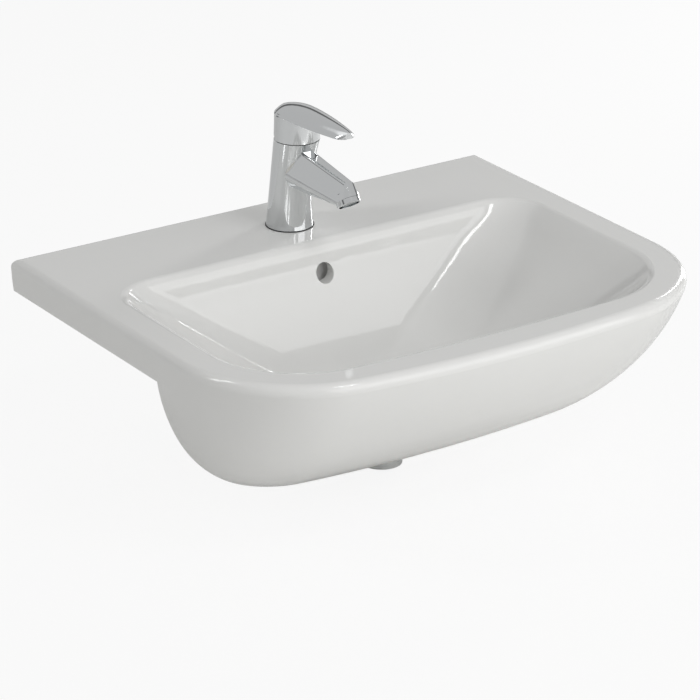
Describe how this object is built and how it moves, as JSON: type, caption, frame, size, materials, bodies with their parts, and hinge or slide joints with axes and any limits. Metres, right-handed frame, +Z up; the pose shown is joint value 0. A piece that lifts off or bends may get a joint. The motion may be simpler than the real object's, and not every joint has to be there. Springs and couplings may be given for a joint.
{
  "type": "semi recessed basin",
  "caption": "Semi recessed white ceramic wash basin with a bowed front, tap deck, overflow, chrome single lever mixer tap and push waste.",
  "frame": {"origin": "on the worktop plane under the basin's ledge, in the middle of its back edge", "axes": "+X to the user's right, +Y to the wall behind, +Z up"},
  "size_m": [0.55, 0.4487, 0.3255],
  "materials": {
    "glaze": "gloss white glaze",
    "chrome": "polished chrome plate",
    "brass": "turned",
    "steel": "plain stainless",
    "rubber": "matt",
    "plastic": "moulded, off white",
    "grey_plastic": "moulded, grey",
    "index": "gloss black",
    "disc": "lapped"
  },
  "bodies": {
    "basin": {"basin_body": "glaze", "tap_body": "chrome", "base_gasket": "rubber", "mounting_stud": "brass", "horseshoe_washer": "rubber", "horseshoe_plate": "steel", "stud_nut": "brass", "cartridge_housing": "plastic", "cartridge_base": "plastic", "inlet_seal": "rubber", "fixed_disc": "disc", "cartridge_nut": "brass", "cover_ring": "chrome", "aerator_housing": "chrome", "aerator_insert": "grey_plastic", "aerator_washer": "rubber", "waste_body": "chrome", "waste_top_seal": "rubber", "waste_bottom_seal": "rubber", "waste_back_nut": "brass", "click_cartridge": "plastic", "click_spring": "steel"},
    "lever_turn": {"cartridge_rotor": "plastic", "spindle_pin": "steel"},
    "lever": {"tap_lever": "chrome", "spindle": "brass", "grub_screw": "steel", "index_plug": "index"},
    "ceramic_disc": {"moving_disc": "disc", "disc_carrier": "plastic"},
    "plug": {"waste_plug": "chrome", "plug_seal": "rubber", "plug_stem": "steel"}
  },
  "joints": [
    {"name": "lever_swivel", "type": "hinge", "parent": "basin", "child": "lever_turn", "pos_m": [0, -0.084, 0.1176], "axis": [0, 0, 1], "range_deg": [-48, 48]},
    {"name": "lever_lift", "type": "hinge", "parent": "lever_turn", "child": "lever", "pos_m": [0, -0.084, 0.1176], "axis": [-1, 0, 0], "range_deg": [0, 17]},
    {"name": "disc_slide", "type": "slide", "parent": "lever_turn", "child": "ceramic_disc", "axis": [0, -1, 0], "range_m": [0, 0.0021]},
    {"name": "plug_push", "type": "slide", "parent": "basin", "child": "plug", "axis": [0, 0, -1], "range_m": [0, 0.007], "deforming": ["click_spring"]}
  ],
  "couplings": [
    {"joint": "disc_slide", "follows": "lever_lift", "m_per_rad": 0.0066}
  ]
}
